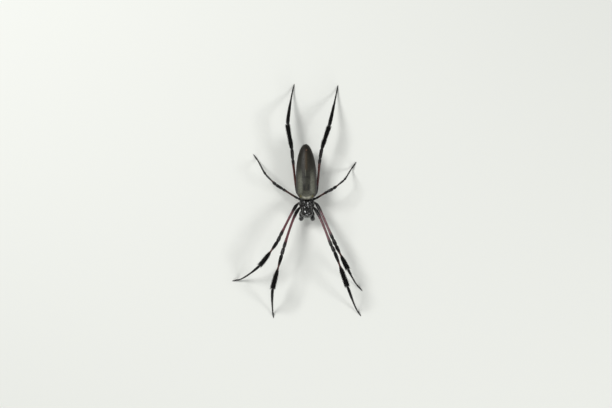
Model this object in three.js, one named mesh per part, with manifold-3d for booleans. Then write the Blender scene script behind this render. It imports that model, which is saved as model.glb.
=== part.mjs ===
// A golden silk orb weaver: an adult female with red thighs and dark brushes on her shins, at life size.
// She stands on the tips of her eight legs with her head toward -Y. Millimetres, +Z up.
import * as THREE from "three";
import { mergeVertices } from "three/addons/utils/BufferGeometryUtils.js";
import Module from "manifold-3d";

const wasm = await Module();
wasm.setup();

// Room between two neighbouring parts, and the sides of a drawn shape
const GAP = 0.3;
const WELD = 1e-4;
const LEG_SIDES = 10;
const BODY_SIDES = 28;

// Fore body: the carapace above, the breast plate and mouth below, on one middle line
const MIDDLE_X = 0.45;
const CARAPACE_REAR_Y = 3.9;
const CARAPACE_LENGTH = 10.4;
const CARAPACE_RIM_Z = 8.8;
const CARAPACE_BELLY = 0.25;
const CARAPACE_HALF_WIDTH = [[0, 0], [0.04, 2.0], [0.12, 3.1], [0.3, 3.85], [0.45, 3.7], [0.6, 3.2],
  [0.75, 3.1], [0.88, 2.95], [0.96, 2.3], [1, 0]];
const CARAPACE_HEIGHT = [[0, 0], [0.04, 0.75], [0.16, 1.75], [0.35, 2.55], [0.47, 2.6], [0.62, 3.4],
  [0.8, 3.95], [0.9, 3.6], [0.97, 2.4], [1, 0]];
const HEAD_GROOVE = { place: 0.52, reach: 0.1, depth: 0.35 };
const HORN = { radius: 0.42, height: 0.75, apart: 1.15, place: 0.66, sink: 0.45 };
const EYE_RADIUS = 0.32;
const EYES = [
  { name: "front middle", apart: 0.45, place: 0.962, rise: 0.7 },
  { name: "rear middle", apart: 0.5, place: 0.9, rise: 0.94 },
  { name: "front side", apart: 2.05, place: 0.945, rise: 0.42 },
  { name: "rear side", apart: 2.35, place: 0.9, rise: 0.52 },
];

const STERNUM_FRONT_Y = -1.95;
const STERNUM_LENGTH = 5.5;
const STERNUM_Z = [5.5, 8.25];
const STERNUM_HALF_WIDTH = [[0, 0], [0.05, 1.15], [0.2, 1.5], [0.4, 1.45], [0.7, 0.95], [0.92, 0.45], [1, 0]];

const MOUTH_Z = [5.1, 8.25];
const MOUTH_Y = [-4.6, -2.3];
const MOUTH_HALF_WIDTH = 1.65;

// Jaws, fangs and palps: lines through [x, y, z] places on the right side, mirrored for the left
const CHELICERA = { radius: 0.98, line: [[1.15, -5.72, 8.2], [1.2, -6.0, 6.4], [0.98, -5.3, 3.5]] };
const FANG = { radius: 0.3, line: [[0.98, -5.3, 3.95], [0.86, -5.0, 2.6], [0.4, -4.2, 3.1]] };
const PALP_ARM = { radius: 0.6, line: [[2.35, -3.1, 6.5], [3.2, -4.9, 7.5], [2.95, -6.9, 7.6]] };
const PALP_HAND = { radius: 1.15, line: [[2.95, -6.9, 7.6], [2.92, -7.4, 5.6], [2.6, -6.9, 2.6]] };

// Rear body: an egg drawn out to a blunt tail, its front end over the rear of the carapace
const ABDOMEN_LENGTH = 27.7;
const ABDOMEN_FRONT = [0.35, 2.25, 12.3];
const ABDOMEN_TURN = THREE.MathUtils.degToRad(1.2);
const ABDOMEN_DROOP = THREE.MathUtils.degToRad(-3);
const ABDOMEN_SIDE = { radius: 5.23, front: [7.65, 3], rear: [20, 2.1] };
const ABDOMEN_BACK = { radius: 4.6, front: [9, 2.4], rear: [16, 2.2] };
const ABDOMEN_BELLY = { radius: 5.3, front: [10, 1.7], rear: [15, 2.0] };
const PEDICEL_RADIUS = 0.6;
const PEDICEL_GAP = 0.8;
const SPINNERET_Y = 24.3;
const SPINNERET_MOUND = { radius: 1.15, long: 1.1, tall: 0.9, z: -3.6 };
const SPINNERET_CONE = { length: 1.7, lean: -0.35, z: -4.8, tip: 0.35 };
const SPINNERETS = [
  { name: "front", apart: 0.55, place: -0.25, radius: 0.5 },
  { name: "middle", apart: 0.3, place: 0.35, radius: 0.36 },
  { name: "rear", apart: 0.6, place: 0.9, radius: 0.48 },
];

// Legs: [x, y] of the hip, knee, shin top, ankle, foot and tip of each, then heights for each pair
const HIP_ROOT_Y = [-1.3, 0.35, 2.0, 3.75];
const HIP_ROOT_X = [1.85, 1.85, 1.5, 1.15];
const HIP_ROOT_Z = 7.0;
const TIP_Z = 0.13;
const BEND_REACH = 0.2;
const LEG_PLACES = {
  leg_1_left: [[-3.1, -1.9], [-11.1, -21.8], [-12, -25], [-16.6, -42.3], [-16.7, -53.8], [-16.3, -57]],
  leg_1_right: [[3.9, -1.9], [12.8, -21], [14.1, -23.6], [20.7, -41.2], [25.5, -53.2], [27.5, -56.1]],
  leg_2_left: [[-4, 0.1], [-12.9, -16], [-14.1, -18.5], [-23.2, -30.8], [-32.8, -37.7], [-36.8, -38.6]],
  leg_2_right: [[4.7, 0.4], [13.4, -17.4], [14.8, -20.4], [20.9, -32.5], [25.3, -40.3], [28.2, -43.5]],
  leg_3_left: [[-3.8, 2.7], [-11.5, 7.4], [-14.8, 9.5], [-20, 14.6], [-24.2, 21.8], [-26.3, 24.8]],
  leg_3_right: [[4.7, 2.7], [10.4, 6], [13.3, 7.5], [18.9, 11.9], [22.7, 17.5], [25.1, 20.9]],
  leg_4_left: [[-3.8, 4.7], [-6.6, 22.2], [-7.1, 27.2], [-9.1, 39.5], [-6.9, 55.8], [-5.9, 60]],
  leg_4_right: [[4.6, 4.7], [7, 22.5], [7.9, 27.5], [11.5, 38.8], [15.2, 55.2], [16, 59.4]],
};
const PAIRS = {
  1: {
    heights: [7.6, 16.2, 16.9, 14.4, 1.6],
    hipBend: 0.2,
    girth: 1,
    shin: 1,
    metatarsus: [[0, 0.62], [0.1, 0.62], [0.3, 0.52], [0.5, 0.45], [0.75, 0.37], [1, 0.31]],
    brush: { from: 0.42, to: 0.86, length: 2.1, count: 26 },
  },
  2: {
    heights: [7.6, 14.4, 14.9, 12.4, 1.6],
    hipBend: 0.1,
    girth: 1,
    shin: 1,
    metatarsus: [[0, 0.56], [0.1, 0.55], [0.3, 0.44], [0.5, 0.39], [0.75, 0.36], [1, 0.3]],
    brush: { from: 0.42, to: 0.84, length: 1.9, count: 22 },
  },
  3: {
    heights: [7.5, 13.0, 13.4, 11.2, 1.4],
    hipBend: 0.1,
    girth: 0.78,
    shin: 1.05,
    metatarsus: [[0, 0.4], [0.1, 0.39], [0.5, 0.34], [0.75, 0.33], [1, 0.28]],
    brush: null,
  },
  4: {
    heights: [7.2, 11.4, 12.4, 11.8, 1.6],
    hipBend: 0.1,
    girth: 0.92,
    shin: 1.12,
    metatarsus: [[0, 0.76], [0.08, 0.84], [0.3, 0.74], [0.5, 0.6], [0.7, 0.42], [1, 0.32]],
    brush: { from: 0.1, to: 0.84, length: 1.8, count: 27 },
  },
};
const RADII = {
  chelicera: [[0, 0.75], [0.15, 0.98], [0.5, 1], [0.85, 0.8], [1, 0.5]],
  fang: [[0, 1], [0.5, 0.8], [1, 0.25]],
  palp_arm: [[0, 0.8], [0.2, 1], [0.8, 1.05], [1, 1]],
  palp_hand: [[0, 0.6], [0.2, 0.92], [0.5, 1], [0.8, 0.85], [1, 0.3]],
  coxa: [[0, 0.55], [0.3, 0.72], [0.7, 0.74], [1, 0.66]],
  femur: [[0, 0.64], [0.08, 0.76], [0.3, 0.68], [0.7, 0.64], [0.92, 0.78], [1, 0.68]],
  patella: [[0, 0.68], [0.4, 0.86], [0.8, 0.84], [1, 0.7]],
  tibia: [[0, 0.68], [0.08, 0.76], [0.2, 0.62], [0.34, 0.5], [0.5, 0.5], [0.85, 0.64], [1, 0.56]],
  tarsus: [[0, 0.3], [0.3, 0.33], [0.75, 0.29], [0.95, 0.26], [1, 0.18]],
};
// Brushes: flat, tapered locks of bristle round the shins of the first, second and fourth legs
const LOCK = {
  width: 0.84,
  thickness: 0.42,
  root: 0.75,
  sink: 0.3,
  lean: 0.56,
  wander: 0.12,
  curl: -0.2,
  sides: 4,
};
const GOLDEN_TURN = Math.PI * (3 - Math.sqrt(5));
const BRUSH_SEED = 11;
const RINGS = { coxa: 5, femur: 8, patella: 4, tibia: 7, metatarsus: 6, tarsus: 5 };

const material = (color, roughness) => new THREE.MeshStandardMaterial({ color, roughness, metalness: 0 });
const BLACK_SHELL = material(0x1b1a19, 0.3);
const RED_SHELL = material(0x7a2f2a, 0.38);
const DARK_SHELL = material(0x231d1c, 0.4);
const BRISTLE = material(0x16120f, 0.6);
const GREY_SKIN = material(0x77776e, 0.6);
const BROWN_SKIN = material(0x3a2c26, 0.55);

const at = (x, y, z) => new THREE.Vector3(x, y, z);
const UP = at(0, 0, 1);
const FORWARD = at(0, -1, 0);
const ACROSS = at(1, 0, 0);

// A smooth line through [place, value] stations, as a function of place.
function smooth(stations) {
  const last = stations.length - 1;
  const slope = stations.map((station, i) => {
    const before = stations[Math.max(i - 1, 0)];
    const after = stations[Math.min(i + 1, last)];
    return (after[1] - before[1]) / (after[0] - before[0]);
  });
  return (place) => {
    let i = 0;
    while (i < last - 1 && place > stations[i + 1][0]) {
      i += 1;
    }
    const [start, low] = stations[i];
    const [end, high] = stations[i + 1];
    const s = THREE.MathUtils.clamp((place - start) / (end - start), 0, 1);
    const blend = s * s * (3 - 2 * s);
    const lean = (end - start) * s * (1 - s) * (slope[i] * (1 - s) - slope[i + 1] * s);
    return low + (high - low) * blend + lean;
  };
}

// How far a round end has opened, from 0 at its pole to 1 at its reach.
function opening(distance, [reach, power]) {
  const left = 1 - THREE.MathUtils.clamp(distance / reach, 0, 1);
  return Math.pow(1 - Math.pow(left, power), 1 / power);
}

// A closed solid from a geometry: its shared points are joined and its faces point out.
function solidOf(geometry) {
  geometry.deleteAttribute("normal");
  geometry.deleteAttribute("uv");
  const joined = mergeVertices(geometry, WELD);
  const corners = [];
  for (let i = 0; i < joined.index.count; i += 3) {
    const [a, b, c] = [0, 1, 2].map((k) => joined.index.getX(i + k));
    if (a !== b && b !== c && c !== a) {
      corners.push(a, b, c);
    }
  }
  const close = (order) => new wasm.Manifold(new wasm.Mesh({
    numProp: 3,
    vertProperties: joined.attributes.position.array,
    triVerts: new Uint32Array(order),
  }));
  const solid = close(corners);
  return solid.volume() > 0 ? solid : close(corners.reverse());
}

const joinAll = (solids) => solids.reduce((whole, piece) => whole.add(piece));

// A named part on its parent, keeping only the largest closed surface of its solid.
function addPart(parent, name, solid, finish) {
  const largest = solid.decompose().sort((a, b) => b.volume() - a.volume())[0];
  const { vertProperties, triVerts } = largest.getMesh();
  const geometry = new THREE.BufferGeometry();
  geometry.setAttribute("position", new THREE.BufferAttribute(vertProperties, 3));
  geometry.setIndex(new THREE.BufferAttribute(triVerts, 1));
  geometry.computeVertexNormals();
  const part = new THREE.Mesh(geometry, finish);
  part.name = name;
  parent.add(part);
}

// A closed body of rings from pole to pole, each point put where place(along, around) says.
function ringBody(rings, sides, place) {
  const profile = [];
  for (let ring = 0; ring <= rings; ring += 1) {
    const turn = (Math.PI * ring) / rings;
    profile.push(new THREE.Vector2(Math.sin(turn), -Math.cos(turn)));
  }
  const geometry = new THREE.LatheGeometry(profile, sides);
  const spot = geometry.attributes.position;
  for (let i = 0; i < spot.count; i += 1) {
    const along = (1 + spot.getY(i)) / 2;
    const around = Math.atan2(spot.getZ(i), spot.getX(i));
    spot.setXYZ(i, ...place(along, around));
  }
  return solidOf(geometry);
}

// Middle, sideways and upward directions of a curve at a place from 0 to 1.
function frameAt(curve, place, upward) {
  const middle = curve.getPointAt(place);
  const ahead = curve.getTangentAt(place);
  const side = at(0, 0, 0).crossVectors(ahead, upward).normalize();
  const rise = at(0, 0, 0).crossVectors(side, ahead);
  return { middle, ahead, side, rise };
}

// A length of limb: a lathe of [place, radius] stations bent along a curve, with flat ends at its joints.
function limb(curve, stations, rings, girth = 1, sides = LEG_SIDES, upward = UP) {
  const radiusAt = smooth(stations);
  const profile = [new THREE.Vector2(0, 0)];
  for (let ring = 0; ring <= rings; ring += 1) {
    const place = ring / rings;
    profile.push(new THREE.Vector2(radiusAt(place) * girth, place));
  }
  profile.push(new THREE.Vector2(0, 1));
  const geometry = new THREE.LatheGeometry(profile, sides);
  const spot = geometry.attributes.position;
  for (let i = 0; i < spot.count; i += 1) {
    const { middle, side, rise } = frameAt(curve, spot.getY(i), upward);
    middle.addScaledVector(side, spot.getX(i)).addScaledVector(rise, spot.getZ(i));
    spot.setXYZ(i, middle.x, middle.y, middle.z);
  }
  return solidOf(geometry);
}

// A repeatable draw from 0 to 1.
function drawFrom(seed) {
  let state = seed;
  return () => {
    state = (state * 1664525 + 1013904223) % 4294967296;
    return state / 4294967296;
  };
}

// One lock: a flattened cone with its root at the origin, growing along +Y and curling back from +X.
function lockGeometry(length) {
  const whole = length + LOCK.sink;
  const cone = new THREE.ConeGeometry(LOCK.width / 2, whole, LOCK.sides, 2);
  cone.rotateY(Math.PI / 4);
  cone.scale(LOCK.thickness / LOCK.width, 1, 1);
  cone.translate(0, whole / 2 - LOCK.sink, 0);
  const spot = cone.attributes.position;
  for (let i = 0; i < spot.count; i += 1) {
    const out = Math.max(spot.getY(i), 0) / length;
    spot.setX(i, spot.getX(i) + LOCK.curl * length * out * out);
  }
  return cone;
}

// A limb wearing a brush. Its locks lean toward the far end and lie closer at both ends of the brush.
function brushedLimb(curve, stations, rings, girth, brush, draw) {
  const radiusAt = smooth(stations);
  const locks = [];
  for (let n = 0; n < brush.count; n += 1) {
    const share = (n + 0.3 + 0.4 * draw()) / brush.count;
    const place = brush.from + (brush.to - brush.from) * share;
    const { middle, ahead, side, rise } = frameAt(curve, place, UP);
    const turn = n * GOLDEN_TURN + 0.3 * (draw() - 0.5);
    const out = side.clone().multiplyScalar(Math.cos(turn)).addScaledVector(rise, Math.sin(turn));
    const lean = LOCK.lean + LOCK.wander * (draw() - 0.5);
    const along = ahead.clone().multiplyScalar(Math.cos(lean)).addScaledVector(out, Math.sin(lean));
    const inward = at(0, 0, 0).crossVectors(along, at(0, 0, 0).crossVectors(out, ahead)).normalize();
    const across = at(0, 0, 0).crossVectors(inward, along);
    const root = middle.addScaledVector(out, radiusAt(place) * girth * LOCK.root);
    const length = brush.length * (0.75 + 0.25 * Math.sin(Math.PI * share)) * (0.92 + 0.16 * draw());
    const lock = lockGeometry(length);
    lock.applyMatrix4(new THREE.Matrix4().makeBasis(inward, along, across).setPosition(root));
    locks.push(solidOf(lock));
  }
  return joinAll([limb(curve, stations, rings, girth), ...locks]);
}

// One curve for each length between joints. Neighbours share a heading, so their end faces are parallel.
// The thigh leaves the hip in a bend of its own, and the last length ends level.
function curvesThrough(joints, hipBend) {
  const last = joints.length - 1;
  const ways = joints.slice(1).map((joint, i) => joint.clone().sub(joints[i]).normalize());
  const heading = joints.map((joint, i) => (
    ways[Math.max(i - 1, 0)].clone().add(ways[Math.min(i, last - 1)]).normalize()
  ));
  heading[last].setZ(0).normalize();
  return ways.map((way, i) => {
    const far = joints[i].distanceTo(joints[i + 1]);
    const leaveReach = far * (i === 1 ? hipBend : BEND_REACH);
    const start = joints[i].clone().addScaledVector(heading[i], GAP / 2);
    const end = joints[i + 1].clone().addScaledVector(heading[i + 1], -GAP / 2);
    const leave = start.clone().addScaledVector(heading[i], leaveReach);
    const arrive = end.clone().addScaledVector(heading[i + 1], -far * BEND_REACH);
    return new THREE.CubicBezierCurve3(start, leave, arrive, end);
  });
}

// A block below the floor, to flatten what reaches it.
function underFloor() {
  const depth = 10;
  return solidOf(new THREE.BoxGeometry(200, 200, depth).translate(0, 0, -depth / 2));
}

function carapaceSolid(grow) {
  const halfWidthAt = smooth(CARAPACE_HALF_WIDTH);
  const heightAt = smooth(CARAPACE_HEIGHT);
  return ringBody(18, BODY_SIDES, (along, around) => {
    const halfWidth = Math.max(halfWidthAt(along), 0) + grow * Math.sin(Math.PI * along);
    const across = Math.cos(around);
    const away = (along - HEAD_GROOVE.place) / HEAD_GROOVE.reach;
    const groove = HEAD_GROOVE.depth * Math.exp(-away * away);
    const height = heightAt(along) - groove * Math.abs(across) * 2 + grow;
    const rise = Math.sin(around) > 0 ? height * Math.sin(around) : CARAPACE_BELLY * Math.sin(around);
    const x = halfWidth * Math.sign(across) * Math.pow(Math.abs(across), 0.85);
    return [x, CARAPACE_REAR_Y - CARAPACE_LENGTH * along, CARAPACE_RIM_Z + rise];
  });
}

function eyeSolids() {
  const heightAt = smooth(CARAPACE_HEIGHT);
  return EYES.flatMap(({ apart, place, rise }) => [-1, 1].map((side) => {
    const ball = new THREE.SphereGeometry(EYE_RADIUS, 8, 5);
    const y = CARAPACE_REAR_Y - CARAPACE_LENGTH * place;
    const z = CARAPACE_RIM_Z + heightAt(place) * rise;
    return solidOf(ball.translate(side * apart, y, z));
  }));
}

function hornSolids() {
  const heightAt = smooth(CARAPACE_HEIGHT);
  return [-1, 1].map((side) => {
    const cone = new THREE.ConeGeometry(HORN.radius, HORN.height + HORN.sink, 8);
    cone.rotateX(Math.PI / 2);
    const y = CARAPACE_REAR_Y - CARAPACE_LENGTH * HORN.place;
    const z = CARAPACE_RIM_Z + heightAt(HORN.place) + (HORN.height - HORN.sink) / 2;
    return solidOf(cone.translate(side * HORN.apart, y, z));
  });
}

function sternumSolid() {
  const halfWidthAt = smooth(STERNUM_HALF_WIDTH);
  const [low, high] = STERNUM_Z;
  return ringBody(10, 16, (along, around) => {
    const halfWidth = Math.max(halfWidthAt(along), 0);
    const round = Math.sin(Math.PI * along) * 0.25 + 0.75;
    const rise = Math.sin(around) * ((high - low) / 2) * round;
    return [halfWidth * Math.cos(around), STERNUM_FRONT_Y + STERNUM_LENGTH * along, (low + high) / 2 + rise];
  });
}

function mouthSolid() {
  const [low, high] = MOUTH_Z;
  const [front, rear] = MOUTH_Y;
  const middle = at(0, (front + rear) / 2, (low + high) / 2);
  const reach = at(MOUTH_HALF_WIDTH, (rear - front) / 2, (high - low) / 2);
  return ringBody(8, 16, (along, around) => {
    const open = opening(Math.min(along, 1 - along), [0.5, 3]);
    const x = middle.x + reach.x * open * Math.cos(around);
    const z = middle.z + reach.z * open * Math.sin(around);
    return [x, middle.y + reach.y * (2 * along - 1), z];
  });
}

const lineOn = (side, line) => line.map(([x, y, z]) => at(side * x, y, z));

function cheliceraSolid(side) {
  const jawCurve = new THREE.QuadraticBezierCurve3(...lineOn(side, CHELICERA.line));
  const fangCurve = new THREE.QuadraticBezierCurve3(...lineOn(side, FANG.line));
  const jaw = limb(jawCurve, RADII.chelicera, 7, CHELICERA.radius, 12, FORWARD);
  const fang = limb(fangCurve, RADII.fang, 5, FANG.radius, 8, ACROSS);
  return jaw.add(fang);
}

function palpSolid(side) {
  const armCurve = new THREE.CatmullRomCurve3(lineOn(side, PALP_ARM.line));
  const handCurve = new THREE.CatmullRomCurve3(lineOn(side, PALP_HAND.line));
  const arm = limb(armCurve, RADII.palp_arm, 7, PALP_ARM.radius, 10);
  const hand = limb(handCurve, RADII.palp_hand, 8, PALP_HAND.radius, 12, FORWARD);
  return arm.add(hand);
}

// The rear body in its own frame: its front pole at the origin, its tail toward +Y.
function abdomenSolid(grow) {
  const radiusAt = (y, { radius, front, rear }) => (
    radius * opening(y, front) * opening(ABDOMEN_LENGTH - y, rear) + grow
  );
  return ringBody(22, BODY_SIDES, (along, around) => {
    const y = ABDOMEN_LENGTH * along;
    const pole = along < 1e-6 || along > 1 - 1e-6;
    const half = pole ? 0 : radiusAt(y, ABDOMEN_SIDE);
    const upright = radiusAt(y, Math.sin(around) > 0 ? ABDOMEN_BACK : ABDOMEN_BELLY);
    return [half * Math.cos(around), y, (pole ? 0 : upright) * Math.sin(around)];
  });
}

function abdomenFrame() {
  const frame = new THREE.Group();
  frame.position.set(...ABDOMEN_FRONT);
  frame.rotation.set(ABDOMEN_DROOP, 0, ABDOMEN_TURN, "ZYX");
  frame.updateMatrixWorld();
  return frame;
}

// The narrow waist, cut clear of the carapace in front and the rear body behind.
function pedicelSolid(abdomenClear) {
  const stalk = new THREE.LineCurve3(at(MIDDLE_X, 2.6, 9.6), at(0.35, 6.2, 10.2));
  const tube = limb(stalk, [[0, 1], [0.5, 0.85], [1, 1]], 3, PEDICEL_RADIUS, 12);
  return tube.subtract(carapaceSolid(PEDICEL_GAP).translate([MIDDLE_X, 0, 0])).subtract(abdomenClear);
}

// Three pairs of short spinning cones on one mound under the tail.
function spinneretSolids() {
  const { radius, long, tall, z } = SPINNERET_MOUND;
  const ball = new THREE.SphereGeometry(radius, 14, 8).scale(1, long, tall).translate(0, 0, z);
  const cones = SPINNERETS.flatMap((pair) => [-1, 1].map((side) => {
    const { length, lean, tip } = SPINNERET_CONE;
    const cone = new THREE.CylinderGeometry(pair.radius * tip, pair.radius, length, 8);
    cone.rotateX(-Math.PI / 2 - lean);
    return solidOf(cone.translate(side * pair.apart, pair.place, SPINNERET_CONE.z));
  }));
  return joinAll([solidOf(ball), ...cones]);
}

function buildForeBody(parent) {
  const fore = new THREE.Group();
  fore.position.x = MIDDLE_X;
  addPart(fore, "carapace", joinAll([carapaceSolid(0), ...eyeSolids(), ...hornSolids()]), BLACK_SHELL);
  addPart(fore, "sternum", sternumSolid(), BLACK_SHELL);
  addPart(fore, "mouthparts", mouthSolid(), BLACK_SHELL);
  for (const [name, side] of [["left", -1], ["right", 1]]) {
    addPart(fore, `chelicera_${name}`, cheliceraSolid(side), BLACK_SHELL);
    addPart(fore, `palp_${name}`, palpSolid(side), BLACK_SHELL);
  }
  parent.add(fore);
}

function buildRearBody(parent) {
  const rear = abdomenFrame();
  const clear = abdomenSolid(GAP);
  addPart(rear, "abdomen", abdomenSolid(0), GREY_SKIN);
  const spinnerets = spinneretSolids().translate([0, SPINNERET_Y, 0]).subtract(clear);
  addPart(rear, "spinnerets", spinnerets, BROWN_SKIN);
  parent.add(rear);
  const clearHere = clear.transform(rear.matrixWorld.elements);
  addPart(parent, "pedicel", pedicelSolid(clearHere), BLACK_SHELL);
}

function jointsOf(name, number, sign) {
  const { heights } = PAIRS[number];
  const root = at(
    MIDDLE_X + sign * HIP_ROOT_X[number - 1], HIP_ROOT_Y[number - 1], HIP_ROOT_Z,
  );
  const rest = LEG_PLACES[name].map(([x, y], i) => at(x, y, heights[i] ?? TIP_Z));
  return [root, ...rest];
}

function buildLeg(parent, number, sideName, sign, floor) {
  const name = `leg_${number}_${sideName}`;
  const { hipBend, girth, shin, metatarsus: shank, brush } = PAIRS[number];
  const curves = curvesThrough(jointsOf(name, number, sign), hipBend);
  const [coxa, femur, patella, tibia, metatarsus, tarsus] = curves;
  const make = (kind, curve, scale, sides) => limb(curve, RADII[kind], RINGS[kind], scale, sides);
  addPart(parent, `${name}_coxa`, make("coxa", coxa, 1, LEG_SIDES), BLACK_SHELL);
  addPart(parent, `${name}_femur`, make("femur", femur, girth, LEG_SIDES), RED_SHELL);
  addPart(parent, `${name}_patella`, make("patella", patella, girth, LEG_SIDES), DARK_SHELL);
  const shinSolid = brush
    ? brushedLimb(tibia, RADII.tibia, RINGS.tibia, girth * shin, brush, drawFrom(BRUSH_SEED + number))
    : make("tibia", tibia, girth * shin, LEG_SIDES);
  addPart(parent, `${name}_tibia`, shinSolid, BRISTLE);
  addPart(parent, `${name}_metatarsus`, limb(metatarsus, shank, RINGS.metatarsus, 1, 8), DARK_SHELL);
  const foot = make("tarsus", tarsus, 1, 8).subtract(floor);
  addPart(parent, `${name}_tarsus`, foot, DARK_SHELL);
}

const spider = new THREE.Group();
buildForeBody(spider);
buildRearBody(spider);
const floorBlock = underFloor();
for (const number of [1, 2, 3, 4]) {
  buildLeg(spider, number, "left", -1, floorBlock);
  buildLeg(spider, number, "right", 1, floorBlock);
}

// The origin is on the floor, under the middle of the whole spider.
const box = new THREE.Box3().setFromObject(spider);
const centre = box.getCenter(at(0, 0, 0));
spider.position.set(-centre.x, -centre.y, 0);

const model = new THREE.Group();
model.add(spider);

export default model;
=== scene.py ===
import math

import bpy
import numpy as np
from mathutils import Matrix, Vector


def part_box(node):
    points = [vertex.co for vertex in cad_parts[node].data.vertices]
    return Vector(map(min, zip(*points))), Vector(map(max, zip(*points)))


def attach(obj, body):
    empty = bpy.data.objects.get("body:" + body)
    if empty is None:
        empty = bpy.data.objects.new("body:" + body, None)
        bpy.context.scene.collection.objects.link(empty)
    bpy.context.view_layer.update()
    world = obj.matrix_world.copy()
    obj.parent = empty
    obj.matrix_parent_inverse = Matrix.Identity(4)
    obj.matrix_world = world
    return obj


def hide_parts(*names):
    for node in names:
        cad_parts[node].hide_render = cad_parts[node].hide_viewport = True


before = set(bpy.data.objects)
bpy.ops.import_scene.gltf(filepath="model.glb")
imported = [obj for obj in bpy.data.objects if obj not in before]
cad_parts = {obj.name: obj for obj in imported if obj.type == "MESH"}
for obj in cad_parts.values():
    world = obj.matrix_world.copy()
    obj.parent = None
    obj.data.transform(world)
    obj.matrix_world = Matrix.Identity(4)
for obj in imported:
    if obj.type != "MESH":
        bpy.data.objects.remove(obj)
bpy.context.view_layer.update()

# Camera: the picture looks square on at the spider. She stands on a table here, so the camera hangs
# straight above her back on a long lens, and the picture's lower edge lies ahead of her.
MM = 0.001
PICTURE_WIDTH = 306 * MM
BODY_LEVEL = 9 * MM
CAMERA_HEIGHT = 3.0
SENSOR_WIDTH = 36
MIDDLE_X = 0.45
CARAPACE_REAR_Y = 3.9
carapace_low, carapace_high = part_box("carapace")
picture_middle = Vector((
    (carapace_low.x + carapace_high.x) / 2 - MIDDLE_X * MM,
    carapace_high.y - CARAPACE_REAR_Y * MM,
    0,
))


def add_object(name, data):
    made = bpy.data.objects.new(name, data)
    bpy.context.scene.collection.objects.link(made)
    return made


camera_data = bpy.data.cameras.new("camera")
camera_data.sensor_width = SENSOR_WIDTH
camera_data.lens = SENSOR_WIDTH * (CAMERA_HEIGHT - BODY_LEVEL) / PICTURE_WIDTH
camera_data.clip_start = 0.05
camera = add_object("camera", camera_data)
camera.location = picture_middle + Vector((0, 0, CAMERA_HEIGHT))
bpy.context.scene.camera = camera


# Legs: eight jointed limbs of dark horny shell, each grown as coxa, femur, patella, tibia, metatarsus
# and tarsus, with a fold of soft skin at every joint. One skin runs from hip to foot on each.
HIP_ROOT_Y = (-1.3, 0.35, 2.0, 3.75)
HIP_ROOT_X = (1.85, 1.85, 1.5, 1.15)
HIP_ROOT_Z = 7.0
TIP_Z = 0.13
JOINT_GAP = 0.3
BEND_REACH = 0.2
FOLD_THICKNESS = 0.84
LEG_PLACES = {
    "leg_1_left": ((-3.1, -1.9), (-11.1, -21.8), (-12, -25), (-16.6, -42.3), (-16.7, -53.8), (-16.3, -57)),
    "leg_1_right": ((3.9, -1.9), (12.8, -21), (14.1, -23.6), (20.7, -41.2), (25.5, -53.2), (27.5, -56.1)),
    "leg_2_left": ((-4, 0.1), (-12.9, -16), (-14.1, -18.5), (-23.2, -30.8), (-32.8, -37.7), (-36.8, -38.6)),
    "leg_2_right": ((4.7, 0.4), (13.4, -17.4), (14.8, -20.4), (20.9, -32.5), (25.3, -40.3), (28.2, -43.5)),
    "leg_3_left": ((-3.8, 2.7), (-11.5, 7.4), (-14.8, 9.5), (-20, 14.6), (-24.2, 21.8), (-26.3, 24.8)),
    "leg_3_right": ((4.7, 2.7), (10.4, 6), (13.3, 7.5), (18.9, 11.9), (22.7, 17.5), (25.1, 20.9)),
    "leg_4_left": ((-3.8, 4.7), (-6.6, 22.2), (-7.1, 27.2), (-9.1, 39.5), (-6.9, 55.8), (-5.9, 60)),
    "leg_4_right": ((4.6, 4.7), (7, 22.5), (7.9, 27.5), (11.5, 38.8), (15.2, 55.2), (16, 59.4)),
}
PAIRS = {
    1: {
        "heights": (7.6, 16.2, 16.9, 14.4, 1.6), "hip_bend": 0.2, "girth": 1.0, "shin": 1.0,
        "metatarsus": (
            (0, 0.4), (0.04, 0.54), (0.1, 0.55), (0.3, 0.48), (0.5, 0.44), (0.75, 0.37), (1, 0.3),
        ),
        "brush": (0.38, 0.98), "brush_length": 2.05, "stubble_reach": (0.25, 0.65),
    },
    2: {
        "heights": (7.6, 14.4, 14.9, 12.4, 1.6), "hip_bend": 0.1, "girth": 1.0, "shin": 1.0,
        "metatarsus": (
            (0, 0.38), (0.04, 0.49), (0.1, 0.5), (0.3, 0.41), (0.5, 0.37), (0.75, 0.35), (1, 0.28),
        ),
        "brush": (0.38, 0.98), "brush_length": 1.85, "stubble_reach": (0.18, 0.5),
    },
    3: {
        "heights": (7.5, 13.0, 13.4, 11.2, 1.4), "hip_bend": 0.1, "girth": 0.78, "shin": 1.05,
        "metatarsus": ((0, 0.32), (0.04, 0.38), (0.1, 0.38), (0.5, 0.33), (0.75, 0.32), (1, 0.26)),
        "brush": None, "brush_length": 0, "stubble_reach": (0.05, 0.2),
    },
    4: {
        "heights": (7.2, 11.4, 12.4, 11.8, 1.6), "hip_bend": 0.1, "girth": 0.92, "shin": 1.12,
        "metatarsus": ((0, 0.5), (0.04, 0.68), (0.1, 0.74), (0.3, 0.66), (0.5, 0.54), (0.7, 0.4), (1, 0.3)),
        "brush": (0.06, 0.98), "brush_length": 1.75, "stubble_reach": (0.5, 0.85),
    },
}
LENGTHS = ("coxa", "femur", "patella", "tibia", "metatarsus", "tarsus")
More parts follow.
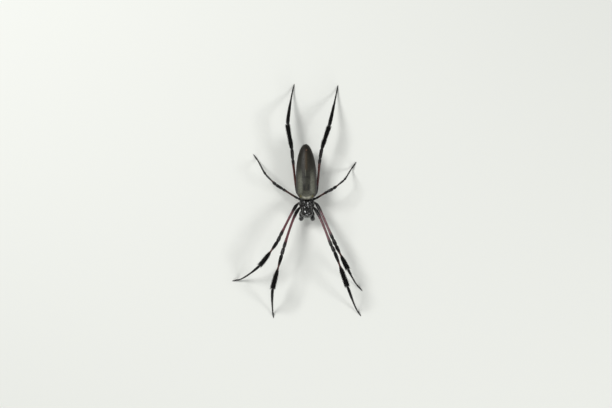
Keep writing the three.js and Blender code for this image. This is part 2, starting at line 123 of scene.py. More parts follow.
RADII = {
    "coxa": ((0, 0.55), (0.3, 0.72), (0.6, 0.74), (0.7, 0.6), (0.84, 0.7), (1, 0.58)),
    "femur": (
        (0, 0.54), (0.06, 0.72), (0.14, 0.73), (0.3, 0.66), (0.7, 0.62), (0.92, 0.76), (0.98, 0.7),
        (1, 0.58),
    ),
    "patella": ((0, 0.58), (0.1, 0.74), (0.4, 0.84), (0.8, 0.82), (0.95, 0.7), (1, 0.54)),
    "tibia": (
        (0, 0.5), (0.04, 0.68), (0.1, 0.7), (0.2, 0.59), (0.34, 0.47), (0.5, 0.48),
        (0.85, 0.6), (0.97, 0.56), (1, 0.44),
    ),
    "tarsus": ((0, 0.24), (0.06, 0.3), (0.3, 0.32), (0.75, 0.28), (0.95, 0.24), (1, 0.15)),
}
LEG_RINGS = {"coxa": 16, "femur": 44, "patella": 18, "tibia": 46, "metatarsus": 44, "tarsus": 18}
LEG_SIDES = 24


def srgb(red, green, blue):
    """A colour in screen values from 0 to 255, turned into the linear light that shaders use."""
    shares = [value / 255 for value in (red, green, blue)]
    return tuple(((c + 0.055) / 1.055) ** 2.4 if c > 10 / 255 else c / 12.92 for c in shares)


LEG_BLACK = srgb(13, 11, 11)
LEG_RED = srgb(99, 56, 63)
LEG_RUST = srgb(78, 40, 33)
LEG_BROWN = srgb(28, 21, 17)
FOLD_TAN = srgb(66, 50, 42)
THIGH_COLOURS = {1: LEG_RED, 2: LEG_RED, 3: srgb(62, 30, 24), 4: srgb(72, 32, 27)}


def smooth(stations, places):
    """A smooth line through (place, value) stations, read at many places."""
    xs, ys = np.array(stations, float).T
    slopes = np.empty(len(xs))
    slopes[1:-1] = (ys[2:] - ys[:-2]) / (xs[2:] - xs[:-2])
    slopes[0] = (ys[1] - ys[0]) / (xs[1] - xs[0])
    slopes[-1] = (ys[-1] - ys[-2]) / (xs[-1] - xs[-2])
    i = np.clip(np.searchsorted(xs, places, side="right") - 1, 0, len(xs) - 2)
    width = xs[i + 1] - xs[i]
    s = np.clip((places - xs[i]) / width, 0, 1)
    blend = s * s * (3 - 2 * s)
    lean = width * s * (1 - s) * (slopes[i] * (1 - s) - slopes[i + 1] * s)
    return ys[i] + (ys[i + 1] - ys[i]) * blend + lean


def step(low, high, values):
    """0 below low, 1 above high, and smooth between."""
    s = np.clip((values - low) / (high - low), 0, 1)
    return s * s * (3 - 2 * s)


def hump(values, middle, reach):
    """1 at the middle, falling to nothing on both sides."""
    return np.exp(-((values - middle) / reach) ** 2)


def mix(first, second, share):
    share = np.asarray(share)[..., None]
    return np.asarray(first) * (1 - share) + np.asarray(second) * share


def unit(vectors):
    return vectors / np.maximum(np.linalg.norm(vectors, axis=-1, keepdims=True), 1e-12)


def curve_places(points, places):
    """A curve through control points of a Bezier, read at even places along its length."""
    fine = np.linspace(0, 1, 200)[:, None]
    level = [np.array(point, float) + 0 * fine for point in points]
    while len(level) > 1:
        level = [a * (1 - fine) + b * fine for a, b in zip(level, level[1:])]
    path = level[0]
    walked = np.concatenate(([0], np.cumsum(np.linalg.norm(np.diff(path, axis=0), axis=1))))
    goal = np.asarray(places) * walked[-1]
    return np.stack([np.interp(goal, walked, path[:, axis]) for axis in range(3)], axis=1)


def limb_curves(joints, hip_bend):
    """Control points of each length between joints. Neighbours share a heading, and the last ends level."""
    joints = np.array(joints, float)
    ways = unit(joints[1:] - joints[:-1])
    heading = unit(np.concatenate((ways[:1], ways)) + np.concatenate((ways, ways[-1:])))
    heading[-1, 2] = 0
    heading = unit(heading)
    curves = []
    for i in range(len(ways)):
        far = np.linalg.norm(joints[i + 1] - joints[i])
        start = joints[i] + heading[i] * JOINT_GAP / 2
        end = joints[i + 1] - heading[i + 1] * JOINT_GAP / 2
        leave = start + heading[i] * far * (hip_bend if i == 1 else BEND_REACH)
        curves.append((start, leave, end - heading[i + 1] * far * BEND_REACH, end))
    return curves


def ring_mesh(rings):
    """Points, faces and unwrap of a closed surface of rings, whose first and last ring are poles."""
    count, sides = rings.shape[:2]
    inner = count - 2
    points = np.concatenate((rings[1:-1].reshape(-1, 3), [rings[0].mean(0), rings[-1].mean(0)]))
    faces, unwrap = [], []
    for j in range(sides):
        k = (j + 1) % sides
        left, right, middle = j / sides, (j + 1) / sides, (j + 0.5) / sides
        faces.append((inner * sides, k, j))
        unwrap += [(middle, 0), (right, 1 / (count - 1)), (left, 1 / (count - 1))]
        for i in range(inner - 1):
            low, high = (i + 1) / (count - 1), (i + 2) / (count - 1)
            faces.append((i * sides + j, i * sides + k, (i + 1) * sides + k, (i + 1) * sides + j))
            unwrap += [(left, low), (right, low), (right, high), (left, high)]
        faces.append((inner * sides + 1, (inner - 1) * sides + j, (inner - 1) * sides + k))
        unwrap += [(middle, 1), (left, 1 - 1 / (count - 1)), (right, 1 - 1 / (count - 1))]
    a, b, c = (points[[face[n] for face in faces]] - points.mean(0) for n in range(3))
    if np.einsum("ij,ij->i", a, np.cross(b, c)).sum() < 0:
        faces = [face[::-1] for face in faces]
        turned, at = [], 0
        for face in faces:
            turned += unwrap[at:at + len(face)][::-1]
            at += len(face)
        unwrap = turned
    return points, faces, unwrap


def skin(name, ring_sets, marks, material, replaced=()):
    """One piece from one or more closed sets of rings in millimetres, with marks for each point."""
    points, faces, unwrap, sizes = [], [], [], []
    for rings in ring_sets:
        more_points, more_faces, more_unwrap = ring_mesh(rings)
        start = sum(len(group) for group in points)
        faces += [tuple(start + corner for corner in face) for face in more_faces]
        points.append(more_points)
        unwrap += more_unwrap
        sizes.append(rings.shape[:2])
    mesh = bpy.data.meshes.new(name)
    mesh.from_pydata((np.concatenate(points) * MM + np.array(picture_middle)).tolist(), [], faces)
    mesh.uv_layers.new(name="OFBake").data.foreach_set("uv", np.array(unwrap, np.float32).ravel())
    for mark, values in marks.items():
        depth = np.asarray(values).shape[2:] if np.ndim(values) > 1 else np.shape(values)
        flat = []
        for count, sides in sizes:
            spread = np.broadcast_to(values, (count, sides) + depth)
            flat += [spread[1:-1].reshape((-1,) + depth), spread[:1, 0], spread[-1:, 0]]
        flat = np.concatenate(flat).astype(np.float32)
        if mark == "tone":
            flat = np.concatenate((flat, np.ones((len(flat), 1), np.float32)), axis=1)
        kind = {"tone": "FLOAT_COLOR", "lie": "FLOAT_VECTOR"}.get(mark, "FLOAT")
        field = {"tone": "color", "lie": "vector"}.get(mark, "value")
        mesh.attributes.new(mark, kind, "POINT").data.foreach_set(field, flat.ravel())
    mesh.polygons.foreach_set("use_smooth", [True] * len(mesh.polygons))
    mesh.materials.append(material)
    piece = add_object(name, mesh)
    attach(piece, "root")
    if replaced:
        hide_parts(*replaced)
    return piece


def tube(middles, radii, sides, upward=(0, 0, 1)):
    """Rings round a line of middles, with the outward and ahead directions of their points."""
    ahead = unit(np.gradient(middles, axis=0))
    side = unit(np.cross(ahead, np.array(upward, float)))
    rise = np.cross(side, ahead)
    turn = np.arange(sides) * 2 * math.pi / sides
    outward = side[:, None] * np.cos(turn)[None, :, None] + rise[:, None] * np.sin(turn)[None, :, None]
    return middles[:, None] + outward * np.asarray(radii)[:, None, None], outward, ahead[:, None]


def add_node(tree, kind, inputs=None, **settings):
    """A node with its settings, each input set to a value or joined to another node's output."""
    made = tree.nodes.new(kind)
    for key, value in settings.items():
        setattr(made, key, value)
    for key, value in (inputs or {}).items():
        if isinstance(value, bpy.types.NodeSocket):
            tree.links.new(value, made.inputs[key])
        else:
            made.inputs[key].default_value = value
    return made


def new_material(name, surface):
    """A material, its node tree, its shader with this surface, and the place on the object it colours."""
    material = bpy.data.materials.new(name)
    material.use_nodes = True
    tree = material.node_tree
    shader = tree.nodes["Principled BSDF"]
    for key, value in surface.items():
        shader.inputs[key].default_value = value
    return material, tree, shader, add_node(tree, "ShaderNodeTexCoord").outputs["Object"]


def mottled(tree, shader, place, scale, detail, depth):
    """Colours a shader by the tone mark, darker and lighter from spot to spot, and gives those spots."""
    tone = add_node(tree, "ShaderNodeAttribute", attribute_name="tone")
    spots = add_node(tree, "ShaderNodeTexNoise", {"Vector": place, "Scale": scale, "Detail": detail})
    share = add_node(tree, "ShaderNodeMapRange", {
        "Value": spots.outputs["Fac"], "From Min": 0.3, "From Max": 0.7, "To Min": 1 - depth,
        "To Max": 1 + depth,
    })
    shade = add_node(tree, "ShaderNodeVectorMath", {
        0: tone.outputs["Color"], "Scale": share.outputs["Result"],
    }, operation="SCALE")
    tree.links.new(shade.outputs["Vector"], shader.inputs["Base Color"])
    return spots.outputs["Fac"]


def raised(tree, shader, height, strength, distance):
    """Lets a shader catch the light as if it were raised by this height."""
    bump = add_node(tree, "ShaderNodeBump", {"Height": height, "Strength": strength, "Distance": distance})
    tree.links.new(bump.outputs["Normal"], shader.inputs["Normal"])


def shell_material(name, roughness, gloss, relief, grain):
    """Horny shell: its colour from the tone mark, mottled, with a fine grain under a clear, waxy gloss."""
    material, tree, shader, place = new_material(name, {"Coat Weight": gloss, "Coat Roughness": 0.16})
    spots = mottled(tree, shader, place, scale=900, detail=5, depth=0.4)
    rough = add_node(tree, "ShaderNodeMapRange", {
        "Value": spots, "To Min": roughness - 0.08, "To Max": roughness + 0.12,
    })
    tree.links.new(rough.outputs["Result"], shader.inputs["Roughness"])
    pits = add_node(tree, "ShaderNodeTexNoise", {"Vector": place, "Scale": grain, "Detail": 3})
    raised(tree, shader, pits.outputs["Fac"], relief, 0.06 * MM)
    return material


leg_shell = shell_material("leg_shell", roughness=0.38, gloss=0.2, relief=0.5, grain=5200)


def leg_tone(pair, length, along):
    """The colour along one length of a leg: red thighs and rust-brown shins between black joints."""
    if length == "femur":
        return mix(LEG_BLACK, THIGH_COLOURS[pair], step(0.16, 0.36, along) * (1 - step(0.82, 0.93, along)))
    if length == "tibia":
        bare = step(0.2, 0.3, along) * (1 - step(0.4, 0.5, along))
        return mix(LEG_BLACK, LEG_RUST, bare * {1: 1.0, 2: 0.9, 3: 0.7, 4: 0.0}[pair])
    if length == "metatarsus":
        return mix(LEG_BLACK, LEG_BROWN, step(0.3, 0.6, along) * (1 - step(0.8, 0.98, along)))
    return mix(LEG_BLACK, LEG_BROWN, 0.2 + 0 * along)


def leg_coats(pair, length, along):
    """How thickly the long brush, the short stubble and the thin fuzz grow along one length of a leg."""
    brush, stubble = 0 * along, 0 * along
    low, high = PAIRS[pair]["stubble_reach"]
    if length == "tibia":
        if PAIRS[pair]["brush"]:
            start, end = PAIRS[pair]["brush"]
            brush = step(start, start + 0.14, along) * (1 - step(end - 0.05, end, along))
        stubble = 1 - step(0.2, 0.36, along)
    if length == "metatarsus":
        stubble = 0.32 + 0.68 * (1 - step(low, high, along))
    if length == "tarsus":
        stubble = 0.4 + stubble
    if length == "patella":
        stubble = 0.35 + 0.4 * step(0.5, 1, along)
    if length == "femur":
        stubble = step(0.8, 0.95, along) * 0.5
        if pair < 3:
            stubble = stubble + 0.6 * step(0.02, 0.06, along) * (1 - step(0.14, 0.3, along))
    fuzz = {"coxa": 0.4, "femur": 0.5, "patella": 0.6}.get(length, 1.0) + 0 * along
    return np.stack((brush, stubble, fuzz), axis=-1)


legs = {}
for name, places in LEG_PLACES.items():
    pair = int(name.split("_")[1])
    build = PAIRS[pair]
    sign = -1 if name.endswith("left") else 1
    root = (MIDDLE_X + sign * HIP_ROOT_X[pair - 1], HIP_ROOT_Y[pair - 1], HIP_ROOT_Z)
    joints = [root] + [(x, y, z) for (x, y), z in zip(places, build["heights"] + (TIP_Z,))]
    middles, radii, tones, coats = [], [], [], []
    for length, control in zip(LENGTHS, limb_curves(joints, build["hip_bend"])):
        along = np.linspace(0, 1, LEG_RINGS[length])
        stations = build["metatarsus"] if length == "metatarsus" else RADII[length]
        girth = build["girth"] if length in ("femur", "patella", "tibia") else 1.0
        girth = girth * build["shin"] if length == "tibia" else girth
        middles.append(curve_places(control, along))
        radii.append(smooth(stations, along) * girth)
        tones.append(leg_tone(pair, length, along))
        coats.append(leg_coats(pair, length, along))
        if length != "tarsus":
            middles.append(middles[-1][-1:] + unit(control[3] - control[2]) * JOINT_GAP / 2)
            radii.append(radii[-1][-1:] * FOLD_THICKNESS)
            tones.append(np.array([FOLD_TAN]))
            coats.append(np.zeros((1, 3)))
    middles, radii, tones, coats = (np.concatenate(rows) for rows in (middles, radii, tones, coats))
    first = middles[:1] * 1.05 - middles[1:2] * 0.05
    last = middles[-1:] * 1.05 - middles[-2:-1] * 0.05
    middles = np.concatenate((first, middles, last))
    radii = np.concatenate(([0], radii, [0]))
    tones = np.concatenate((tones[:1], tones, tones[-1:]))
    coats = np.concatenate((np.zeros((1, 3)), coats, np.zeros((1, 3))))
    rings, outward, ahead = tube(middles, radii, LEG_SIDES)
    rings[..., 2] = np.maximum(rings[..., 2], 0)
    marks = {"tone": tones[:, None], "lie": unit(ahead * 0.85 + outward * 0.52)}
    off_floor = step(0.15, 0.8, rings[..., 2])
    for n, mark in enumerate(("brush", "stubble", "fuzz")):
        marks[mark] = coats[:, None, n] * off_floor
    replaced = [f"{name}_{length}" for length in LENGTHS]
    legs[name] = skin(name + "_skin", [rings], marks, leg_shell, replaced)


# Claws: each foot ends in two curved upper claws and a shorter middle one, of clear brown horn, with
# which she grips her threads.
CLAW_RADIUS = 0.055
CLAW_BROWN = srgb(58, 36, 24)
# Each claw: its place across the foot, its length and how far its tip drops.
CLAW_SIZES = ((0.07, 0.5, 0.1), (-0.07, 0.5, 0.1), (0, 0.3, 0.14))
claw_horn = shell_material("claw_horn", roughness=0.3, gloss=0.5, relief=0.2, grain=6000)
for name, places in LEG_PLACES.items():
    foot = np.array((*places[-1], TIP_Z + 0.06))
    heading = unit(np.array((*places[-1], 0.0)) - np.array((*places[-2], 0.0)))
    side = np.array((-heading[1], heading[0], 0))
    claws = []
    for apart, length, drop in CLAW_SIZES:
        start = foot - heading * 0.2 + side * apart
        bend = start + heading * length * 0.7 + np.array((0, 0, 0.1))
        end = start + heading * length + np.array((0, 0, -drop))
        line = curve_places((start, bend, end), np.linspace(0, 1, 9))
        thick = CLAW_RADIUS * np.array((0, 1, 1, 0.95, 0.85, 0.7, 0.5, 0.28, 0))
        claw = tube(line, thick, 7)[0]
        claw[..., 2] = np.maximum(claw[..., 2], 0.005)
        claws.append(claw)
    skin(name + "_claws", claws, {"tone": CLAW_BROWN}, claw_horn)


# Bristles and hairs: stiff black bristles stand in a brush round the shins, shorter ones thicken the
# legs beside it, and thin hairs lie all over. Each is one tapered horny thread rooted in the shell.
THREAD_TIP = 0.12
# Each thread takes its colour from a patch of the unwrap beside its root.
PATCH_WIDTH = 0.0012
PATCH_LENGTH = 0.003


def thread_tree():
    """A coat of tapered, curled threads over a skin, as one mesh, with each root's place on the unwrap."""
    tree = bpy.data.node_groups.new("thread_coat", "GeometryNodeTree")
    face = tree.interface
    face.new_socket("Geometry", in_out="INPUT", socket_type="NodeSocketGeometry")
    for label, kind in (
        ("Where", "String"), ("Density", "Float"), ("Length", "Float"), ("Width", "Float"),
        ("Curl", "Float"), ("Spread", "Float"), ("Bends", "Int"), ("Seed", "Int"), ("Material", "Material"),
    ):
        face.new_socket(label, in_out="INPUT", socket_type="NodeSocket" + kind)
    face.new_socket("Geometry", in_out="OUTPUT", socket_type="NodeSocketGeometry")
    given, result = add_node(tree, "NodeGroupInput"), add_node(tree, "NodeGroupOutput")
    density, long, width, curl, spread, bends, seed = (
        given.outputs[label] for label in ("Density", "Length", "Width", "Curl", "Spread", "Bends", "Seed")
    )

    def maths(operation, first, second):
        return add_node(tree, "ShaderNodeMath", {0: first, 1: second}, operation=operation).outputs[0]

    def named(label, data_type):
        found = add_node(tree, "GeometryNodeInputNamedAttribute", {"Name": label}, data_type=data_type)
        return found.outputs["Attribute"]

    def sum_of(first, second):
        return add_node(tree, "ShaderNodeVectorMath", {0: first, 1: second}, operation="ADD").outputs[0]

    where = named(given.outputs["Where"], "FLOAT")
    roots = add_node(tree, "GeometryNodeDistributePointsOnFaces", {
        "Mesh": given.outputs["Geometry"], "Density": maths("MULTIPLY", where, density), "Seed": seed,
    }, distribute_method="RANDOM")
    stray = add_node(tree, "FunctionNodeRandomValue", {
        0: (-1, -1, -1), 1: (1, 1, 1), "Seed": seed,
    }, data_type="FLOAT_VECTOR")
    wander = add_node(tree, "ShaderNodeVectorMath", {
        0: stray.outputs[0], "Scale": spread,
    }, operation="SCALE")
    way = sum_of(named("lie", "FLOAT_VECTOR"), wander.outputs[0])
    upright = add_node(tree, "FunctionNodeAlignRotationToVector", {"Vector": way}, axis="Z")
    turned = add_node(tree, "FunctionNodeAlignRotationToVector", {
        "Rotation": upright.outputs[0], "Vector": roots.outputs["Normal"],
    }, axis="X", pivot_axis="Z")
    thread = add_node(tree, "GeometryNodeMeshCone", {
        "Vertices": 3, "Side Segments": bends, "Radius Top": THREAD_TIP, "Radius Bottom": 1.0, "Depth": 1.0,
    }, fill_type="NGON")
    position = add_node(tree, "GeometryNodeInputPosition").outputs[0]
    parts = add_node(tree, "ShaderNodeSeparateXYZ", {0: position})
    across, up = parts.outputs["X"], parts.outputs["Z"]
    slender = maths("DIVIDE", long, width)
    bent = maths("MULTIPLY", maths("MULTIPLY", up, up), maths("MULTIPLY", curl, slender))
    inward = add_node(tree, "ShaderNodeCombineXYZ", {"X": maths("MULTIPLY", bent, -1.0)})
    curled = add_node(tree, "GeometryNodeSetPosition", {
        "Geometry": thread.outputs["Mesh"], "Offset": inward.outputs[0],
    })
    patch = add_node(tree, "ShaderNodeCombineXYZ", {
        "X": maths("MULTIPLY", across, PATCH_WIDTH), "Y": maths("MULTIPLY", up, PATCH_LENGTH),
    })
    marked = add_node(tree, "GeometryNodeStoreNamedAttribute", {
        "Geometry": curled.outputs[0], "Name": "patch", "Value": patch.outputs[0],
    }, data_type="FLOAT_VECTOR", domain="POINT")
    vary = add_node(tree, "FunctionNodeRandomValue", {2: 0.6, 3: 1.1, "Seed": seed}, data_type="FLOAT")
    fuller = maths("ADD", maths("MULTIPLY", where, 0.5), 0.5)
    grown_long = maths("MULTIPLY", maths("MULTIPLY", long, vary.outputs[1]), fuller)
    size = add_node(tree, "ShaderNodeCombineXYZ", {"X": width, "Y": width, "Z": grown_long})
    placed = add_node(tree, "GeometryNodeInstanceOnPoints", {
        "Points": roots.outputs["Points"], "Instance": marked.outputs[0], "Rotation": turned.outputs[0],
        "Scale": size.outputs[0],
    })
    grown = add_node(tree, "GeometryNodeRealizeInstances", {"Geometry": placed.outputs[0]})
    rooted = add_node(tree, "GeometryNodeStoreNamedAttribute", {
        "Geometry": grown.outputs[0], "Name": "OFBake",
        "Value": sum_of(named("OFBake", "FLOAT_VECTOR"), named("patch", "FLOAT_VECTOR")),
    }, data_type="FLOAT2", domain="CORNER").outputs[0]
    for leftover in ("patch", "lie", "brush", "stubble", "fuzz"):
        cleared = add_node(tree, "GeometryNodeRemoveAttribute", {"Geometry": rooted, "Name": leftover})
        rooted = cleared.outputs[0]
    rounded = add_node(tree, "GeometryNodeSetShadeSmooth", {"Geometry": rooted})
    dressed = add_node(tree, "GeometryNodeSetMaterial", {
        "Geometry": rounded.outputs[0], "Material": given.outputs["Material"],
    })
    tree.links.new(dressed.outputs[0], result.inputs[0])
    return tree


coat_tree = thread_tree()


def coat(name, over, material, slot, **settings):
    """One mesh of threads over a skin. Lengths are in metres, density in threads a square metre."""
    maker = add_object(name, over.data.copy())
    threads = maker.modifiers.new("threads", "NODES")
    threads.node_group = coat_tree
    settings["Material"] = material
    for socket in coat_tree.interface.items_tree:
        if socket.in_out == "INPUT" and socket.name in settings:
            threads[socket.identifier] = settings[socket.name]
    bpy.context.view_layer.update()
    ready = maker.evaluated_get(bpy.context.evaluated_depsgraph_get())
    mesh = bpy.data.meshes.new_from_object(ready)
    bpy.data.objects.remove(maker)
    mesh.name = name
    piece = add_object(name, mesh)
    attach(piece, "root")
    return piece


def thread_material(name, colour, roughness, tone_share):
    """Horny thread: partly its own colour, changing from place to place, partly that of the skin."""
    material, tree, shader, place = new_material(name, {"Roughness": roughness, "Specular IOR Level": 0.3})
    tone = add_node(tree, "ShaderNodeAttribute", attribute_name="tone")
    change = add_node(tree, "ShaderNodeTexNoise", {"Vector": place, "Scale": 2600})
    own = add_node(tree, "ShaderNodeMix", {
        "Factor": change.outputs["Fac"], "A": (*[c * 0.5 for c in colour], 1),
        "B": (*[min(c * 1.5, 1) for c in colour], 1),
    }, data_type="RGBA")
    both = add_node(tree, "ShaderNodeMix", {
        "Factor": tone_share, "A": own.outputs["Result"], "B": tone.outputs["Color"],
    }, data_type="RGBA")
    tree.links.new(both.outputs["Result"], shader.inputs["Base Color"])
    return material


black_bristle = thread_material("black_bristle", srgb(13, 11, 10), 0.5, 0.1)
leg_hair = thread_material("leg_hair", srgb(26, 20, 17), 0.5, 0.25)
for number, (name, piece) in enumerate(legs.items()):
    build = PAIRS[int(name.split("_")[1])]
    if build["brush"]:
        coat(
            name + "_brush", piece, black_bristle, "bristle", Where="brush", Density=9e7,
            Length=build["brush_length"] * MM, Width=0.03 * MM, Curl=0.16, Spread=0.22, Bends=4,
            Seed=100 + number,
        )
    coat(
        name + "_stubble", piece, black_bristle, "dark_shell", Where="stubble", Density=8.5e7,
        Length=0.64 * MM, Width=0.025 * MM, Curl=0.2, Spread=0.25, Bends=2, Seed=150 + number,
    )
    coat(
        name + "_hairs", piece, leg_hair, "dark_shell", Where="fuzz", Density=1e7,
        Length=0.55 * MM, Width=0.014 * MM, Curl=0.2, Spread=0.3, Bends=3, Seed=200 + number,
    )


# Carapace: the hard black shield over head and thorax, one moulded shell. The head stands up in front of
# a groove, low swellings run out over the hips, and two short horns stand behind the eyes.
CARAPACE_LENGTH = 10.4
CARAPACE_RIM_Z = 8.8
CARAPACE_BELLY = 0.25
CARAPACE_HALF_WIDTH = (
    (0, 0), (0.04, 2.0), (0.12, 3.1), (0.3, 3.85), (0.45, 3.7), (0.6, 3.2), (0.75, 3.1), (0.88, 2.95),
    (0.96, 2.3), (1, 0),
)
CARAPACE_HEIGHT = (
    (0, 0), (0.04, 0.75), (0.16, 1.75), (0.35, 2.55), (0.47, 2.6), (0.62, 3.4), (0.8, 3.95), (0.9, 3.6),
    (0.97, 2.4), (1, 0),
)
HEAD_GROOVE = {"place": 0.52, "reach": 0.1, "depth": 0.35}
PIT_PLACE = 0.36
FACE_BULGE = 0.35
SHELL_BLACK = srgb(12, 11, 11)
# The grey of the painted highlight on the carapace's crests and crown.
SHELL_HIGHLIGHT_GREY = srgb(70, 70, 66)


def pole_spacing(count):
    """Places from 0 to 1, closer together near both poles."""
    return ((1 - np.cos(np.linspace(0, math.pi, count))) / 2)[:, None]


def turn_places(count):
    return (np.arange(count) * 2 * math.pi / count)[None]


along, around = pole_spacing(120), turn_places(120)
across, upward = np.cos(around) + 0 * along, np.sin(around) + 0 * along
above = upward > 0
groove = HEAD_GROOVE["depth"] * hump(along, HEAD_GROOVE["place"], HEAD_GROOVE["reach"])
height = smooth(CARAPACE_HEIGHT, along) - groove * np.abs(across) * 2
x = np.maximum(smooth(CARAPACE_HALF_WIDTH, along), 0) * np.sign(across) * np.abs(across) ** 0.85
y = CARAPACE_REAR_Y - CARAPACE_LENGTH * along + 0 * around
pit_y = CARAPACE_REAR_Y - CARAPACE_LENGTH * PIT_PLACE
away = np.hypot(x, y - pit_y)
bearing = np.arctan2(y - pit_y, np.abs(x))
thorax = (1 - step(0.5, 0.6, along)) * step(0.6, 1.4, away) * (1 - step(3.3, 4.0, away))
thorax = thorax * np.clip(upward, 0, 1)
swell = 0.26 * thorax * np.cos(bearing * 7.0 + 0.6)
pit = -0.32 * np.exp(-((x / 0.35) ** 2 + ((y - pit_y) / 0.7) ** 2))
cheek = 0.12 * hump(along, 0.9, 0.06) * hump(np.abs(x), 2.15, 0.5)
crown = -0.1 * hump(along, 0.74, 0.12) * hump(x, 0, 0.35)
z = CARAPACE_RIM_Z + np.where(above, height * upward, CARAPACE_BELLY * upward)
z = z + (swell + pit + cheek + crown) * above
face = step(0.93, 0.985, along) * step(0, 1.3, z - CARAPACE_RIM_Z)
y = y - FACE_BULGE * face * (1 - np.clip(np.abs(x) / 2.4, 0, 1) ** 2)
rings = np.stack((x + MIDDLE_X, y, z), axis=-1)
head_points = rings.reshape(-1, 3)
# Painted highlight: the shell's tone turns grey on the crests of the swellings and on the top of the head,
# on its upper side only, where the lamps catch it.
painted_highlight = np.clip(swell * 2.2, 0, 1) + 0.3 * hump(along, 0.74, 0.1) * (np.abs(across) < 0.75)
body_shell = shell_material("body_shell", roughness=0.22, gloss=0.8, relief=0.4, grain=2600)
back_hair = (upward > 0.05) * (1 - 0.6 * step(0.5, 0.62, along)) * (1 - step(0.9, 0.97, along))
lie = unit(np.stack((0.35 * across, 0.75 + 0 * across, 0.5 + 0 * across), axis=-1))
carapace = skin("carapace_shell", [rings], {
    "tone": mix(SHELL_BLACK, SHELL_HIGHLIGHT_GREY, np.clip(painted_highlight, 0, 1) * above * 0.4), "lie": lie, "fuzz": back_hair,
}, body_shell, ["carapace"])
silver_hair = thread_material("silver_hair", srgb(80, 78, 72), 0.45, 0.0)
coat(
    "carapace_hairs", carapace, silver_hair, "black_shell", Where="fuzz", Density=8e6,
    Length=0.6 * MM, Width=0.014 * MM, Curl=0.35, Spread=0.35, Bends=3, Seed=31,
)

HORN = {"radius": 0.42, "height": 0.75, "apart": 1.15, "place": 0.66, "sink": 0.45}
horn_y = CARAPACE_REAR_Y - CARAPACE_LENGTH * HORN["place"]
horn_z = CARAPACE_RIM_Z + float(smooth(CARAPACE_HEIGHT, np.array(HORN["place"])))
horns = []
for side in (-1, 1):
    rise = np.linspace(0, 1, 24)[:, None]
    foot = np.array((MIDDLE_X + side * HORN["apart"], horn_y, horn_z - HORN["sink"]))
    line = foot + rise * np.array((0, 0.1, HORN["sink"] + HORN["height"]))
    thick = HORN["radius"] * (1 - rise[:, 0]) ** 0.75
    thick[0] = 0
    horns.append(tube(line, thick, 24, (0, -1, 0))[0])
skin("horns", horns, {"tone": SHELL_BLACK}, body_shell)


# Eyes: eight small, clear, dark beads set in the shell, four in a square on the middle of the brow and two
# close together on a low swelling at each side. Each sits in a low rim.
# Each pair: its place across and along the shell, its share of the height, and its radius.
EYES = ((0.45, 0.962, 0.7, 0.3), (0.5, 0.9, 0.94, 0.3), (2.05, 0.945, 0.42, 0.22), (2.35, 0.9, 0.52, 0.22))
EYE_DARK, EYE_LIGHT = srgb(14, 12, 14), srgb(46, 38, 38)
eye_bead, tree, shader, place = new_material("eye_bead", {
    "Roughness": 0.04, "Coat Weight": 1.0, "Coat Roughness": 0.02,
})
cloud = add_node(tree, "ShaderNodeTexNoise", {"Vector": place, "Scale": 3000})
shades = add_node(tree, "ShaderNodeValToRGB", {"Fac": cloud.outputs["Fac"]})
shades.color_ramp.elements[0].color = (*EYE_DARK, 1)
shades.color_ramp.elements[1].color = (*EYE_LIGHT, 1)
tree.links.new(shades.outputs["Color"], shader.inputs["Base Color"])


def ball_rings(centre, radii, count=22, sides=28):
    down = np.linspace(0, math.pi, count)[:, None]
    turn = turn_places(sides)
    across, along = np.sin(down) * np.cos(turn), np.sin(down) * np.sin(turn)
    ball = np.stack((across, along, np.cos(down) + 0 * turn), axis=-1)
    return np.array(centre) + ball * np.array(radii)


rims = []
for row, (apart, place_along, rise_share, radius) in enumerate(EYES):
    eye_pair = []
    for side in (-1, 1):
        eye_z = CARAPACE_RIM_Z + float(smooth(CARAPACE_HEIGHT, np.array(place_along))) * rise_share
        goal = np.array((MIDDLE_X + side * apart, CARAPACE_REAR_Y - CARAPACE_LENGTH * place_along, eye_z))
        seat = head_points[np.linalg.norm(head_points - goal, axis=1).argmin()]
        outward = unit(np.array((side * apart * 0.35, -0.8, 0.5)))
        centre = np.array((goal[0], seat[1], seat[2])) + outward * radius * 0.25
        eye_pair.append(ball_rings(centre, radius))
        rims.append(ball_rings(centre - outward * radius * 0.42, radius * 1.12))
    skin(f"eye_pair_{row + 1}", eye_pair, {}, eye_bead)
skin("eye_rims", rims, {"tone": SHELL_BLACK}, body_shell)


# Breast plate and mouthparts: a small black shield between the hips, and ahead of it the lip between two
# broad maxillae. All are hard shell with soft edges, and the maxillae carry a fringe over the mouth.
STERNUM_FRONT_Y = -1.95
STERNUM_LENGTH = 5.5
STERNUM_LOW, STERNUM_HIGH = 5.5, 8.25
STERNUM_HALF_WIDTH = ((0, 0), (0.05, 1.15), (0.2, 1.5), (0.4, 1.45), (0.7, 0.95), (0.92, 0.45), (1, 0))
PLATE_YELLOW = srgb(120, 100, 60)
along, around = pole_spacing(60), turn_places(56)
across, upward = np.cos(around) + 0 * along, np.sin(around) + 0 * along
bulge = (STERNUM_HIGH - STERNUM_LOW) / 2 * (np.sin(math.pi * along) * 0.25 + 0.75)
lobes = 1 + 0.05 * np.cos(along * 22) * (np.abs(across) > 0.4)
rings = np.stack((
    MIDDLE_X + np.maximum(smooth(STERNUM_HALF_WIDTH, along), 0) * across * lobes,
    STERNUM_FRONT_Y + STERNUM_LENGTH * along + 0 * across,
    (STERNUM_LOW + STERNUM_HIGH) / 2 + upward * bulge,
), axis=-1)
spot = hump(across, 0, 0.45) * hump(along, 0.22, 0.12) * (upward < 0)
sternum = skin("sternum_plate", [rings], {
    "tone": mix(SHELL_BLACK, PLATE_YELLOW, spot * 0.8),
    "lie": unit(np.zeros((60, 56, 3)) + (0, 0.9, -0.45)),
    "fuzz": (upward < -0.2) * 1.0,
}, body_shell, ["sternum"])
coat(
    "sternum_hairs", sternum, silver_hair, "black_shell", Where="fuzz", Density=1.4e7,
    Length=0.5 * MM, Width=0.014 * MM, Curl=0.25, Spread=0.35, Bends=3, Seed=41,
)

